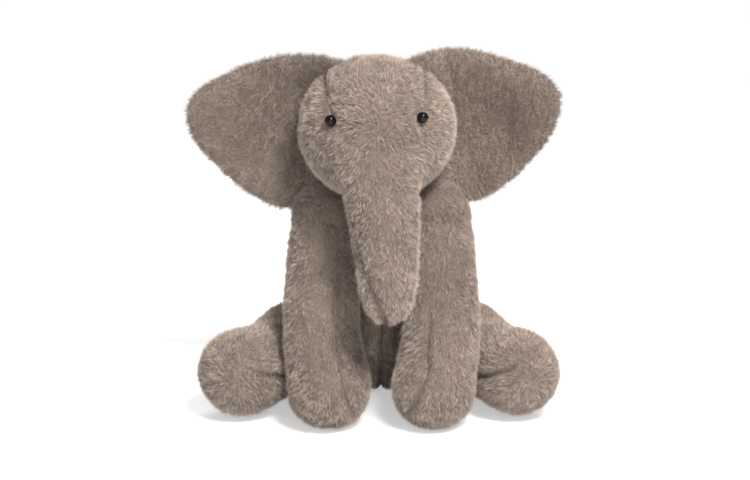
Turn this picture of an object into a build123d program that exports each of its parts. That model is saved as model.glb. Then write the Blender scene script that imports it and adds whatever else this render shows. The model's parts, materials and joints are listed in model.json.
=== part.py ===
from build123d import *
import os
from math import asin, cos, pi, radians, sin, sqrt

# Sitting plush elephant, facing -Y, with +X on the viewer's right and the floor at Z = 0.
# The origin is on the floor, in the middle of the flat that it sits on.
# Every limb is a skin of pile fabric (sewn panels) around its own filling.  All sizes are in mm.

# ---- Fabric and filling -------------------------------------------------------------------
PILE = 8.0                  # woven backing and dense pile together
FILL_GAP = 0.4              # filling stays this far inside the skin
BAG_GAP = 0.6               # room round a bag of beans
BAG_LIFT = 2.0              # filling under a bag of beans in a foot
JOINT_GAP = 1.0             # room between a limb's ball end and the hollow that holds it

# ---- Torso --------------------------------------------------------------------------------
BELLY_CENTRE = (0.0, 0.0, 78.0)
BELLY_SEMI = (83.0, 62.0, 84.0)
CHEST_CENTRE = (0.0, -22.0, 138.0)
CHEST_SEMI = (66.0, 50.0, 74.0)
SEAT_BAG_CENTRE = (0.0, 6.0, 26.0)
SEAT_BAG_SEMI = (24.0, 30.0, 12.0)

# ---- Neck and head ------------------------------------------------------------------------
NECK = (-2.0, -44.0, 205.0)  # pivot of both the turn and the nod
NECK_BALL = 28.0
NECK_LEAN = 32.0            # the neck leans forward from upright, degrees
NECK_CUT_BELOW = 8.0        # top of the torso, below the pivot along the neck
NECK_CUT_ABOVE = 12.0       # underside of the head, above the pivot along the neck
HEAD_CENTRE = (0.0, -76.0, 256.0)
HEAD_RADIUS = 68.0
HEAD_ROLL = 2.0             # the head is tilted a little to its right
GUSSET_HALF_WIDTH = 37.0    # strip from the brow over the crown to the nape

# ---- Eyes ---------------------------------------------------------------------------------
EYE_SPREAD = 40.0           # half the distance between the eyes
EYE_HEIGHT = 19.0           # above the head's centre
EYE_RADIUS = 5.0
EYE_SINK = 2.0              # the dome's base sits below the pile's surface
EYE_FIT = 0.3
STEM_RADIUS = 1.6
STEM_LENGTH = 13.0
WASHER_RADIUS = 6.5
WASHER_THICK = 1.6

# ---- Trunk --------------------------------------------------------------------------------
TRUNK_ROOT = (0.0, -120.0, 226.0)
TRUNK_BEND = (0.0, -153.0, 160.0)
TRUNK_TIP = (0.0, -159.0, 119.0)
TRUNK_ROOT_RADIUS = 34.0
TRUNK_BEND_RADIUS = 27.0
TRUNK_TIP_RADIUS = 17.5
TRUNK_RIM = 14.0            # the upper length ends this far above the bend
TRUNK_ROOM_TURNS = (0.0, -4.0, -8.0)  # degrees: places of the trunk that the face leaves room for
TRUNK_ROOM_TAPER = 1.0

# ---- Ears ---------------------------------------------------------------------------------
EAR_HINGE_LOW = (56.0, -60.0, 216.0)
EAR_HINGE_HIGH = (43.0, -65.0, 308.0)
EAR_ROOT_RADIUS = 8.0
EAR_DISH_CENTRE = (104.0, -208.0, 258.0)
EAR_DISH_RADIUS = 160.0     # the ear is a patch of a large sphere, hollow towards the front
EAR_THICK = 15.0
EAR_SKIN = 5.0
EAR_POCKET_SEMI = (42.0, 46.0)  # half width and half height of the wadded middle
EAR_SLOT_DEPTH = 46.0       # the slit in the head that the ear's root turns in
EAR_SLOT_SLACK = 17.0
EAR_SLOT_LEAN = 0.36        # the ear leaves the head sloping back by this much per unit out
EAR_ROOT_TRIM = 3.0         # the plate starts this far out from the hinge, clear of the slit's edge
EAR_SLOT_LONGER = 24.0      # the slit runs past both ends of the hinge by half of this
EAR_SLOT_SPARE = 3.0        # degrees the slit opens beyond the ear's forward limit
EAR_FORWARD = 20.0
EAR_BACK = 15.0
EAR_OUTLINE = [             # from the top of the root round the rim to its lower end
    (54.0, 323.0), (84.0, 324.0), (126.0, 312.5), (156.0, 297.5), (166.0, 277.0),
    (157.0, 246.0), (132.0, 215.0), (99.0, 191.0), (81.0, 187.5), (67.0, 197.0),
]

# ---- Forelegs -----------------------------------------------------------------------------
SHOULDER = (52.0, -66.0, 156.0)
FOREFOOT = (46.0, -116.0, 36.0)
FORELEG_RADIUS = 34.5
FORELEG_TAPER = 0.5         # the foot end of the column is this much slimmer
FORELEG_ROOM_BACK = 12.0    # how far back of its rest the leg has room in the belly
FOREFOOT_SEMI = (37.0, 41.0, 37.0)
FOREFOOT_BAG_SEMI = (21.0, 24.0, 13.0)

# ---- Hind legs ----------------------------------------------------------------------------
HIP = (73.0, -22.0, 43.0)
ANKLE = (102.0, -64.0, 41.5)
HINDFOOT = (124.0, -94.0, 40.0)
HIP_RADIUS = 36.0
ANKLE_RADIUS = 33.5
HINDFOOT_RADIUS = 41.0
HINDFOOT_BAG_SEMI = (22.0, 22.0, 12.0)
HIND_SEAM_HEIGHT = 43.5     # the seam that runs along the leg and round the sole

# ---- Tail and label -----------------------------------------------------------------------
TAIL_ROOT = (0.0, 66.0, 62.0)
TAIL_TIP = (0.0, 94.0, 18.0)
TAIL_ROOT_RADIUS = 9.0
TAIL_TIP_RADIUS = 7.0
TAIL_SKIN = 3.5
LABEL_SIZE = (0.8, 26.0, 14.0)
LABEL_PLACE = (6.0, 48.0, 13.0)

BIG = 2000.0                # reach of a cutting block


# ---- Basic shapes -------------------------------------------------------------------------
def vec(point):
    return Vector(*point)


def ball(point, radius):
    return Pos(*point) * Sphere(radius)


def ellipsoid(point, semi):
    return Pos(*point) * scale(Sphere(1.0), by=semi)


def shrink(semi, amount):
    return tuple(side - amount for side in semi)


def tapered_capsule(start, end, start_radius, end_radius):
    """Two balls and the cone that touches both, as one turned solid."""
    along = vec(end) - vec(start)
    length = along.length
    lean = asin((start_radius - end_radius) / length)
    low_turn = (lean - pi / 2) / 2
    high_turn = (lean + pi / 2) / 2
    bottom = (0, -start_radius)
    low_bulge = (start_radius * cos(low_turn), start_radius * sin(low_turn))
    low_touch = (start_radius * cos(lean), start_radius * sin(lean))
    high_touch = (end_radius * cos(lean), length + end_radius * sin(lean))
    high_bulge = (end_radius * cos(high_turn), length + end_radius * sin(high_turn))
    top = (0, length + end_radius)
    outline = [
        ThreePointArc(bottom, low_bulge, low_touch),
        Line(low_touch, high_touch),
        ThreePointArc(high_touch, high_bulge, top),
        Line(top, bottom),
    ]
    solid = revolve(Plane.XZ * make_face(outline), Axis.Z, 360)
    return Plane(origin=start, z_dir=along) * solid


def beyond(point, direction, distance=0.0):
    """A very large block that holds everything past a plane across a direction."""
    side = vec(direction).normalized()
    plane = Plane(origin=vec(point) + side * distance, z_dir=side)
    return plane * Box(BIG, BIG, BIG, align=(Align.CENTER, Align.CENTER, Align.MIN))


def halves(solid, point, direction):
    """The two pieces of a solid on either side of a sewing seam."""
    block = beyond(point, direction)
    return solid & block, solid - block


def swing(solid, point, direction, angle):
    """Turn a solid about a line."""
    return solid.rotate(Axis(vec(point), vec(direction)), angle)


def one(solid):
    """The largest closed solid of a result."""
    return max(solid.solids(), key=lambda piece: piece.volume)


# ---- The head's frame ---------------------------------------------------------------------
def place_head(solid):
    """Move a shape made upright on the middle line to the head's own tilt and place."""
    moved = Pos(NECK[0], 0, 0) * solid
    return swing(moved, NECK, (0, 1, 0), -HEAD_ROLL)


def neck_direction():
    lean = radians(NECK_LEAN)
    return (0, -sin(lean), cos(lean))


# ---- Whole limbs, before they are divided into skin and filling ----------------------------
def foreleg(inset):
    """The left foreleg's outside, or the space inside its skin."""
    column = tapered_capsule(SHOULDER, FOREFOOT, FORELEG_RADIUS - inset, FORELEG_RADIUS - FORELEG_TAPER - inset)
    foot = ellipsoid(FOREFOOT, shrink(FOREFOOT_SEMI, inset))
    return (column + foot) - beyond((0, 0, inset), (0, 0, -1))


def hind_leg(inset):
    """The left hind leg from the hip to the round sole."""
    thigh = tapered_capsule(HIP, ANKLE, HIP_RADIUS - inset, ANKLE_RADIUS - inset)
    shin = tapered_capsule(ANKLE, HINDFOOT, ANKLE_RADIUS - inset, HINDFOOT_RADIUS - inset)
    return (thigh + shin) - beyond((0, 0, inset), (0, 0, -1))


def both_sides(left_nodes):
    """The left side's pieces and their mirror images, each with its side in its name."""
    nodes = {}
    for name, solid in left_nodes.items():
        nodes[name + "_left"] = solid
        nodes[name + "_right"] = solid.mirror(Plane.YZ)
    return nodes


def tail(inset):
    return tapered_capsule(TAIL_ROOT, TAIL_TIP, TAIL_ROOT_RADIUS - inset, TAIL_TIP_RADIUS - inset)


def torso(inset):
    """The pear-shaped body with the hollows that hold the neck, the legs and the tail."""
    belly = ellipsoid(BELLY_CENTRE, shrink(BELLY_SEMI, inset))
    chest = ellipsoid(CHEST_CENTRE, shrink(CHEST_SEMI, inset))
    body = belly + chest
    body -= beyond((0, 0, inset), (0, 0, -1))
    body -= beyond(NECK, neck_direction(), -NECK_CUT_BELOW - inset)
    body -= ball(NECK, NECK_BALL + JOINT_GAP + inset)
    body -= ball(TAIL_ROOT, TAIL_ROOT_RADIUS + JOINT_GAP + inset)
    room = JOINT_GAP + inset
    radius = FORELEG_RADIUS + room
    foot_back = (FOREFOOT[0], FOREFOOT[1] + FORELEG_ROOM_BACK, FOREFOOT[2])
    left_room = [
        tapered_capsule(SHOULDER, FOREFOOT, radius, radius - FORELEG_TAPER),
        tapered_capsule(SHOULDER, foot_back, radius, radius - FORELEG_TAPER),
        tapered_capsule(HIP, ANKLE, HIP_RADIUS + room, ANKLE_RADIUS + room),
    ]
    for limb in left_room:
        body -= limb
        body -= limb.mirror(Plane.YZ)
    return one(body)


def trunk_upper(inset):
    """From the ball in the face to just above the bend."""
    along = vec(TRUNK_BEND) - vec(TRUNK_ROOT)
    whole = tapered_capsule(TRUNK_ROOT, TRUNK_BEND, TRUNK_ROOT_RADIUS - inset, TRUNK_BEND_RADIUS - inset)
    whole -= beyond(TRUNK_BEND, tuple(along), -TRUNK_RIM - inset)
    return one(whole - ball(TRUNK_BEND, TRUNK_BEND_RADIUS + JOINT_GAP + inset))


def trunk_lower(inset):
    return tapered_capsule(TRUNK_BEND, TRUNK_TIP, TRUNK_BEND_RADIUS - inset, TRUNK_TIP_RADIUS - inset)


def head(inset):
    """The round head with the hollows for the neck, the trunk and the roots of the ears."""
    skull = ball(HEAD_CENTRE, HEAD_RADIUS - inset)
    neck = (0, NECK[1], NECK[2])
    skull -= beyond(neck, tuple(-part for part in neck_direction()), -NECK_CUT_ABOVE - inset)
    skull -= ball(neck, NECK_BALL + JOINT_GAP + inset)
    radius = TRUNK_ROOT_RADIUS + JOINT_GAP + inset
    for turn in TRUNK_ROOM_TURNS:
        end = swing(Vertex(*TRUNK_BEND), TRUNK_ROOT, (-1, 0, 0), turn)
        skull -= tapered_capsule(TRUNK_ROOT, tuple(end), radius, radius - TRUNK_ROOM_TAPER)
    for side in (-1, 1):
        skull -= ear_slot(side, inset)
    return one(skull)


# ---- Ears ---------------------------------------------------------------------------------
def ear_hinge(side):
    low = vec(EAR_HINGE_LOW)
    high = vec(EAR_HINGE_HIGH)
    return Vector(side * low.X, low.Y, low.Z), Vector(side * high.X, high.Y, high.Z)


def ear_root(side, radius):
    low, high = ear_hinge(side)
    along = high - low
    return Plane(origin=low, z_dir=along) * Cylinder(
        radius, along.length, align=(Align.CENTER, Align.CENTER, Align.MIN)
    )


def ear_way_out(side):
    """Middle of the hinge, with X pointing outwards along the ear and Z along the hinge."""
    low, high = ear_hinge(side)
    along = high - low
    return Plane(origin=low + along / 2, z_dir=along, x_dir=(side, EAR_SLOT_LEAN, 0))


def ear_slot(side, inset):
    """The slit in the side of the head where the ear's root turns."""
    low, high = ear_hinge(side)
    along = high - low
    width = EAR_THICK + EAR_SLOT_SLACK + 2 * inset
    long = along.length + EAR_SLOT_LONGER
    slab = ear_way_out(side) * Box(EAR_SLOT_DEPTH, width, long, align=(Align.MIN, Align.CENTER, Align.CENTER))
    slot = ear_root(side, EAR_ROOT_RADIUS + JOINT_GAP + inset)
    for angle in (-EAR_BACK, (EAR_FORWARD - EAR_BACK) / 2, EAR_FORWARD + EAR_SLOT_SPARE):
        slot += swing(slab, tuple(low), tuple(along * -side), angle)
    return slot


def ear_outline():
    low, high = ear_hinge(1)
    rim = Spline(EAR_OUTLINE)
    edges = [
        rim,
        Line(EAR_OUTLINE[-1], (low.X, low.Z)),
        Line((low.X, low.Z), (high.X, high.Z)),
        Line((high.X, high.Z), EAR_OUTLINE[0]),
    ]
    return make_face(edges)


def ear_middle(inset):
    across, tall = EAR_POCKET_SEMI
    place = Pos(EAR_DISH_CENTRE[0], EAR_DISH_CENTRE[2])
    return place * Ellipse(across - inset, tall - inset)


def ear_plate(face, inset):
    """A dished plate of an outline: a patch of a hollow sphere, open towards the front."""
    reach = 1.5 * EAR_DISH_RADIUS
    block = Plane.XZ.offset(-EAR_DISH_CENTRE[1] - reach) * extrude(face, amount=reach)
    outer = ball(EAR_DISH_CENTRE, EAR_DISH_RADIUS + EAR_THICK / 2 - inset)
    inner = ball(EAR_DISH_CENTRE, EAR_DISH_RADIUS - EAR_THICK / 2 + inset)
    return (block & outer) - inner


def make_left_ear():
    """Front and back of the left ear, and the thin wadding between them."""
    inboard = ear_way_out(1) * Pos(EAR_ROOT_TRIM, 0, 0) * Box(
        BIG, BIG, BIG, align=(Align.MAX, Align.CENTER, Align.CENTER)
    )
    whole = ear_plate(ear_outline(), 0) - inboard + ear_root(1, EAR_ROOT_RADIUS)
    cover = whole - ear_plate(ear_middle(0), EAR_SKIN)
    seam = ball(EAR_DISH_CENTRE, EAR_DISH_RADIUS)
    return {
        "ear_front": one(cover & seam),
        "ear_back": one(cover - seam),
        "ear_wadding": one(ear_plate(ear_middle(FILL_GAP), EAR_SKIN + FILL_GAP)),
    }


# ---- Eyes ---------------------------------------------------------------------------------
def eye_place(side):
    """Where an eye sits on the head, with its axis pointing out of the face."""
    across = side * EYE_SPREAD
    forward = sqrt(HEAD_RADIUS**2 - EYE_SPREAD**2 - EYE_HEIGHT**2)
    out = Vector(across, -forward, EYE_HEIGHT).normalized()
    return Plane(origin=vec(HEAD_CENTRE) + out * (HEAD_RADIUS - EYE_SINK), z_dir=out)


def eye_stem(radius):
    return Cylinder(radius, STEM_LENGTH, align=(Align.CENTER, Align.CENTER, Align.MAX))


def eye(side):
    return eye_place(side) * (Sphere(EYE_RADIUS) + eye_stem(STEM_RADIUS))


def eye_room(side):
    """The dimple and the hole that the eye takes out of the face panel."""
    return eye_place(side) * (Sphere(EYE_RADIUS + EYE_FIT) + eye_stem(STEM_RADIUS + EYE_FIT))


def eye_washer(side, slack):
    """The locking washer behind the fabric, or with slack the room that it takes."""
    depth = PILE - EYE_SINK + 2 * FILL_GAP - slack
    disc = Pos(0, 0, -depth) * Cylinder(
        WASHER_RADIUS + slack, WASHER_THICK + 2 * slack, align=(Align.CENTER, Align.CENTER, Align.MAX)
    )
    if slack > 0:
        tail_room = Cylinder(
            STEM_RADIUS + slack, STEM_LENGTH + slack, align=(Align.CENTER, Align.CENTER, Align.MAX)
        )
        return eye_place(side) * (disc + tail_room)
    bore = eye_stem(STEM_RADIUS + EYE_FIT)
    return eye_place(side) * (disc - bore)


# ---- Assembly of each limb ----------------------------------------------------------------
def make_torso():
    outside = torso(0)
    skin = outside - torso(PILE)
    right, left = halves(skin, (0, 0, 0), (-1, 0, 0))
    bag = ellipsoid(SEAT_BAG_CENTRE, SEAT_BAG_SEMI)
    bag_room = ellipsoid(SEAT_BAG_CENTRE, shrink(SEAT_BAG_SEMI, -BAG_GAP))
    filling = torso(PILE + FILL_GAP) - bag_room
    label = Pos(*LABEL_PLACE) * Box(*LABEL_SIZE) - outside
    return {
        "torso_panel_left": one(left),
        "torso_panel_right": one(right),
        "torso_stuffing": one(filling),
        "seat_bean_bag": bag,
        "sewn_in_label": one(label),
        "neck_stuffing": ball(NECK, NECK_BALL),
    }


def make_head():
    skin = head(0) - head(PILE)
    strip = Pos(0, 0, HEAD_CENTRE[2]) * Box(2 * GUSSET_HALF_WIDTH, BIG, BIG)
    gusset = one(skin & strip)
    sides = skin - strip
    filling = head(PILE + FILL_GAP)
    nodes = {"head_gusset": gusset}
    for side, name in ((1, "left"), (-1, "right")):
        panel = one(sides & beyond((0, 0, 0), (side, 0, 0)))
        nodes["face_panel_" + name] = one(panel - eye_room(side))
        nodes["eye_" + name] = one(eye(side))
        nodes["eye_washer_" + name] = one(eye_washer(side, 0))
        nodes["head_gusset"] = one(nodes["head_gusset"] - eye_room(side))
        filling = filling - eye_washer(side, FILL_GAP)
    nodes["head_stuffing"] = one(filling)
    return {name: place_head(solid) for name, solid in nodes.items()}


def make_trunk():
    nodes = {}
    upper_along = vec(TRUNK_BEND) - vec(TRUNK_ROOT)
    lower_along = vec(TRUNK_TIP) - vec(TRUNK_BEND)
    upper_skin = trunk_upper(0) - trunk_upper(PILE)
    lower_skin = trunk_lower(0) - trunk_lower(PILE)
    upper_front = (0, upper_along.Z, -upper_along.Y)
    lower_front = (0, lower_along.Z, -lower_along.Y)
    upper_top, upper_under = halves(upper_skin, TRUNK_ROOT, upper_front)
    lower_top, lower_under = halves(lower_skin, TRUNK_BEND, lower_front)
    nodes["trunk_upper_front_panel"] = one(upper_top)
    nodes["trunk_upper_under_panel"] = one(upper_under)
    nodes["trunk_upper_stuffing"] = trunk_upper(PILE + FILL_GAP)
    nodes["trunk_tip_front_panel"] = one(lower_top)
    nodes["trunk_tip_under_panel"] = one(lower_under)
    nodes["trunk_tip_stuffing"] = trunk_lower(PILE + FILL_GAP)
    return {name: place_head(solid) for name, solid in nodes.items()}


def make_ears():
    nodes = both_sides(make_left_ear())
    return {name: place_head(solid) for name, solid in nodes.items()}


def make_left_foreleg():
    skin = foreleg(0) - foreleg(PILE)
    outer, inner = halves(skin, FOREFOOT, (1, 0, 0))
    place = (FOREFOOT[0], FOREFOOT[1], PILE + FILL_GAP + FOREFOOT_BAG_SEMI[2] + BAG_LIFT)
    room = ellipsoid(place, shrink(FOREFOOT_BAG_SEMI, -BAG_GAP))
    return {
        "foreleg_outer_panel": one(outer),
        "foreleg_inner_panel": one(inner),
        "foreleg_stuffing": one(foreleg(PILE + FILL_GAP) - room),
        "forefoot_bean_bag": ellipsoid(place, FOREFOOT_BAG_SEMI),
    }


def make_left_hind_leg():
    skin = hind_leg(0) - hind_leg(PILE)
    upper, lower = halves(skin, (0, 0, HIND_SEAM_HEIGHT), (0, 0, 1))
    place = (HINDFOOT[0], HINDFOOT[1], PILE + FILL_GAP + HINDFOOT_BAG_SEMI[2] + BAG_LIFT)
    room = ellipsoid(place, shrink(HINDFOOT_BAG_SEMI, -BAG_GAP))
    return {
        "hind_leg_upper_panel": one(upper),
        "hind_leg_lower_panel": one(lower),
        "hind_leg_stuffing": one(hind_leg(PILE + FILL_GAP) - room),
        "hindfoot_bean_bag": ellipsoid(place, HINDFOOT_BAG_SEMI),
    }


def make_tail():
    skin = tail(0) - tail(TAIL_SKIN)
    left, right = halves(skin, (0, 0, 0), (1, 0, 0))
    return {
        "tail_panel_left": one(left),
        "tail_panel_right": one(right),
        "tail_stuffing": tail(TAIL_SKIN + FILL_GAP),
    }


def main():
    os.makedirs("parts", exist_ok=True)
    nodes = make_torso()
    nodes.update(make_head())
    nodes.update(make_trunk())
    nodes.update(make_ears())
    nodes.update(both_sides(make_left_foreleg()))
    nodes.update(both_sides(make_left_hind_leg()))
    nodes.update(make_tail())
    for name, solid in nodes.items():
        export_step(solid, os.path.join("parts", name + ".step"))


main()
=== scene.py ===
"""Looks of a sitting plush elephant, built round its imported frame.

Sewn skins of pile fabric are puffed out by cloth simulation and carry a combed coat of fur.
Inside are soft fillings.  Glossy eyes and a plain white stage complete the picture.
"""
import itertools
import json
import math

import bmesh
import bpy
import numpy as np
from mathutils import Matrix, Vector, kdtree
from mathutils.bvhtree import BVHTree


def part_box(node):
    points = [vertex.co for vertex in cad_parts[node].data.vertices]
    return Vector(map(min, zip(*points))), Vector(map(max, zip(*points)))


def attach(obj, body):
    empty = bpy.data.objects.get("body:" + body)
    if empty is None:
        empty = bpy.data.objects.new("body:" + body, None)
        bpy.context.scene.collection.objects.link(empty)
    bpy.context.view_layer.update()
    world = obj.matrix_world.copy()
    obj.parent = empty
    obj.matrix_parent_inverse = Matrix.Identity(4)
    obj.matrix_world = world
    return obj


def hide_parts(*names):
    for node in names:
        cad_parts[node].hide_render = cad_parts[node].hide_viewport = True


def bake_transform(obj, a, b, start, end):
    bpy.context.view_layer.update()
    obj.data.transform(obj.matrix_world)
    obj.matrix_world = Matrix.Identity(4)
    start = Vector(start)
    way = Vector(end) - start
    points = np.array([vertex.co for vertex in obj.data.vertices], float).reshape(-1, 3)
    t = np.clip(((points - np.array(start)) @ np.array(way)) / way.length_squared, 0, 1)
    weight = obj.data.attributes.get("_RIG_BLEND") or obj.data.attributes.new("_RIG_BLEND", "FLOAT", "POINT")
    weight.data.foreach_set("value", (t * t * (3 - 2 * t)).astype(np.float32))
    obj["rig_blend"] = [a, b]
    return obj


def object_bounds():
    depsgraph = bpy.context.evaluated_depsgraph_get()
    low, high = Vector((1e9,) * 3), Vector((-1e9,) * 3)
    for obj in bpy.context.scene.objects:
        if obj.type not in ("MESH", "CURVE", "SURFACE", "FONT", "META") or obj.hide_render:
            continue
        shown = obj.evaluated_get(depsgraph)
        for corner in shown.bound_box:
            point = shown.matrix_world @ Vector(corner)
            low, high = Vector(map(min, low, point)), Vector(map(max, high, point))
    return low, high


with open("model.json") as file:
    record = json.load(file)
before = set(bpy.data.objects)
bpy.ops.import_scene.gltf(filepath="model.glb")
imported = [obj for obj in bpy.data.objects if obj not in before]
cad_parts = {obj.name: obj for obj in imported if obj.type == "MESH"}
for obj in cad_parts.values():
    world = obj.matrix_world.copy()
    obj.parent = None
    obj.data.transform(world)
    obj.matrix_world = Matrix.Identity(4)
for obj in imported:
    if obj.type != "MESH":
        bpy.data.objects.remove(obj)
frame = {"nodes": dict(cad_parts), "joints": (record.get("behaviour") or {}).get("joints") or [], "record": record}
CAD_BOX = [list(corner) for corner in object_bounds()]

MM = 0.001
PIVOT = {joint["name"]: np.array(joint["pos_m"]) for joint in frame["joints"]}
AXIS = {joint["name"]: np.array(joint["axis"]) for joint in frame["joints"]}
SIDES = ((1, "left"), (-1, "right"))

# ---- Fabric and fur, in millimetres ----
FUR_RISE = 3.6          # the backing lies this far under the level of the fur
FUR_LENGTH = 5.4
FUR_DENSITY = 1.6    # strands per square millimetre
FUR_POINTS = 5
FUR_RADIUS = 0.10
FUR_LEAN = 0.55         # how far a tip lies over, as a share of the hair's length
FUR_LEAST = 0.12        # where less than this share of the length is left, no hair grows
TUFT = 2.7              # size of the small locks that the pile falls into
MESH_STEP = 3.4         # voxel of the skins before the last subdivision
BACKING = 1.2           # thickness of the fabric
PUFF_FRAMES = 16
PUFF_CAP = 3.0          # no place moves further than this
PUFF_HELD = 2.2         # half width of the strip that is held along a seam
SEAM_DEPTH = 2.4
SEAM_WIDTH = 2.6
PARTING_WIDTH = 4.5     # how far from a seam the pile still leans away from it
FLOOR_GAP = 1.2         # the undersides lie this far above the floor
FLOOR_SOFT = 6.0        # the height over which an underside flattens out
FLOOR_HELD = 2.5        # what lies lower than this doesn't puff out
EYE_RADIUS = 5.0
CLOTH = {               # the puff's cloth settings
    "quality": 4,
    "mass": 0.2,
    "tension_stiffness": 12,
    "compression_stiffness": 12,
    "shear_stiffness": 6,
    "bending_stiffness": 0.3,
    "use_pressure": True,
    "uniform_pressure_force": 4.0,
    "vertex_group_mass": "held",
}


# ---- Numbers from places: hashes and noise ----
AXIS_PRIMES = (73856093, 19349663, 83492791)
SEED_PRIME = 2654435761
TURN_STEP = 974634777
STIR = 0x45D9F3B
LOW_32 = 0xFFFFFFFF


def hash_unit(cells, seed):
    """Three numbers from 0 to 1 for each whole-number cell."""
    x, y, z = (cells.astype(np.int64) * AXIS_PRIMES).T
    mixed = x ^ y ^ z ^ seed * SEED_PRIME
    out = []
    for turn in (1, 2, 3):
        value = (mixed + turn * TURN_STEP) & LOW_32
        value = ((value >> 16) ^ value) * STIR & LOW_32
        value = ((value >> 16) ^ value) * STIR & LOW_32
        value = (value >> 16) ^ value
        out.append((value & 0xFFFFFF) / float(0xFFFFFF))
    return np.stack(out, 1)


def noise(points, size, seed):
    """Smooth vector noise from -1 to 1 with features of about this size."""
    scaled = points / size
    cell = np.floor(scaled)
    part = scaled - cell
    part = part * part * (3 - 2 * part)
    total = np.zeros((len(points), 3))
    for corner in itertools.product((0, 1), repeat=3):
        step = np.array(corner)
        weight = np.prod(np.where(step == 1, part, 1 - part), axis=1)
        total += hash_unit(cell + step, seed) * weight[:, None]
    return total * 2 - 1


def tufts(points, size, seed):
    """The nearest lock of fur to each point: the way to its middle, and a number of its own."""
    cell = np.floor(points / size)
    nearest = np.full(len(points), np.inf)
    way = np.zeros((len(points), 3))
    own = np.zeros(len(points))
    for corner in itertools.product((-1, 0, 1), repeat=3):
        near = cell + np.array(corner)
        jitter = hash_unit(near, seed)
        to_middle = (near + jitter) * size - points
        distance = (to_middle**2).sum(1)
        closer = distance < nearest
        nearest[closer] = distance[closer]
        way[closer] = to_middle[closer]
        own[closer] = jitter[closer, 1]
    return way, own


def everywhere(places):
    return np.ones(len(places))


def between(values, low, high):
    """0 below low, 1 above high, straight between.  Low may be the greater one."""
    return np.clip((values - low) / (high - low), 0, 1)


def unit(vectors):
    return vectors / np.maximum(np.linalg.norm(vectors, axis=-1, keepdims=True), 1e-9)


def across(vectors, normals):
    """The part of each vector that lies along the surface."""
    return vectors - (vectors * normals).sum(1)[:, None] * normals


# ---- Mesh work ----
def read(items, name, width=1, kind=np.int32):
    """One property of all vertices, edges or faces, a row for each."""
    out = np.zeros(len(items) * width, kind)
    items.foreach_get(name, out)
    return out.reshape(-1, width)


def positions(mesh):
    return read(mesh.vertices, "co", 3, np.float32).astype(float)


def set_positions(mesh, co):
    mesh.vertices.foreach_set("co", co.astype(np.float32).ravel())
    mesh.update()


def vertex_normals(mesh):
    return read(mesh.vertex_normals, "vector", 3, np.float32).astype(float)


def add_object(name, data):
    made = bpy.data.objects.new(name, data)
    bpy.context.scene.collection.objects.link(made)
    return made


def store(data, name, kind, domain, values):
    """Give a mesh or hair an attribute of its own."""
    field = "vector" if kind == "FLOAT_VECTOR" else "value"
    data.attributes.new(name, kind, domain).data.foreach_set(field, values.ravel())


def dress(piece, material):
    piece.data.materials.clear()
    piece.data.materials.append(material)


def bake_modifiers(piece):
    """Apply every modifier of a piece."""
    graph = bpy.context.evaluated_depsgraph_get()
    graph.update()
    result = bpy.data.meshes.new_from_object(piece.evaluated_get(graph))
    old = piece.data
    piece.modifiers.clear()
    piece.data = result
    bpy.data.meshes.remove(old)
    return piece


def remesh(piece, step):
    modifier = piece.modifiers.new("even", "REMESH")
    modifier.mode = "VOXEL"
    modifier.voxel_size = step * MM
    return bake_modifiers(piece)


def subdivide(piece):
    modifier = piece.modifiers.new("smooth", "SUBSURF")
    modifier.levels = 1
    modifier.render_levels = 1
    return bake_modifiers(piece)


def relax(mesh, steps):
    """Smooth a mesh by drawing each vertex towards the middle of its neighbours."""
    first, second = read(mesh.edges, "vertices", 2).T
    co = positions(mesh)
    count = np.bincount(first, minlength=len(co)) + np.bincount(second, minlength=len(co))
    for _ in range(steps):
        total = np.zeros_like(co)
        for axis in range(3):
            total[:, axis] = np.bincount(first, co[second, axis], len(co))
            total[:, axis] += np.bincount(second, co[first, axis], len(co))
        co += (total / count[:, None] - co) * 0.5
    set_positions(mesh, co)


def blob(name, lumps, step=MESH_STEP, smoothing=8):
    """One closed skin round many overlapping ellipsoids: (centre, half sizes) in millimetres."""
    bm = bmesh.new()
    for centre, semi in lumps:
        place = Matrix.LocRotScale(Vector(centre) * MM, None, Vector(semi) * MM)
        bmesh.ops.create_icosphere(bm, subdivisions=4, radius=1.0, matrix=place)
    mesh = bpy.data.meshes.new(name)
    bm.to_mesh(mesh)
    bm.free()
    piece = remesh(add_object(name, mesh), step)
    relax(piece.data, smoothing)
    return piece


def curve_between(before, here, there, after, share):
    """A smooth curve's place at a share of the way from here to there."""
    curve = 2 * here + (there - before) * share
    curve += (2 * before - 5 * here + 4 * there - after) * share**2
    curve += (3 * here - before - 3 * there + after) * share**3
    return curve / 2


def chain(stations, count, side=1):
    """Balls along a smooth path: each station is (x, y, z, radius) in millimetres, on the toy's left."""
    stations = np.array(stations, float) * (side, 1, 1, 1)
    places = np.linspace(0, len(stations) - 1, count)
    lumps = []
    for place in places:
        index = min(int(place), len(stations) - 2)
        share = place - index
        before = stations[max(index - 1, 0)]
        after = stations[min(index + 2, len(stations) - 1)]
        here, there = stations[index], stations[index + 1]
        x, y, z, radius = curve_between(before, here, there, after, share)
        radius -= FUR_RISE
        lumps.append(((x, y, z), (radius, radius, radius)))
    return lumps


def sit_on_floor(piece):
    """Flatten the underside where it rests."""
    co = positions(piece.data)
    low = FLOOR_GAP * MM
    soft = FLOOR_SOFT * MM
    depth = np.clip((low + soft - co[:, 2]) / soft, 0, None)
    co[:, 2] = np.where(depth > 0, low + soft * np.exp(-depth), co[:, 2])
    set_positions(piece.data, co)


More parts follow.
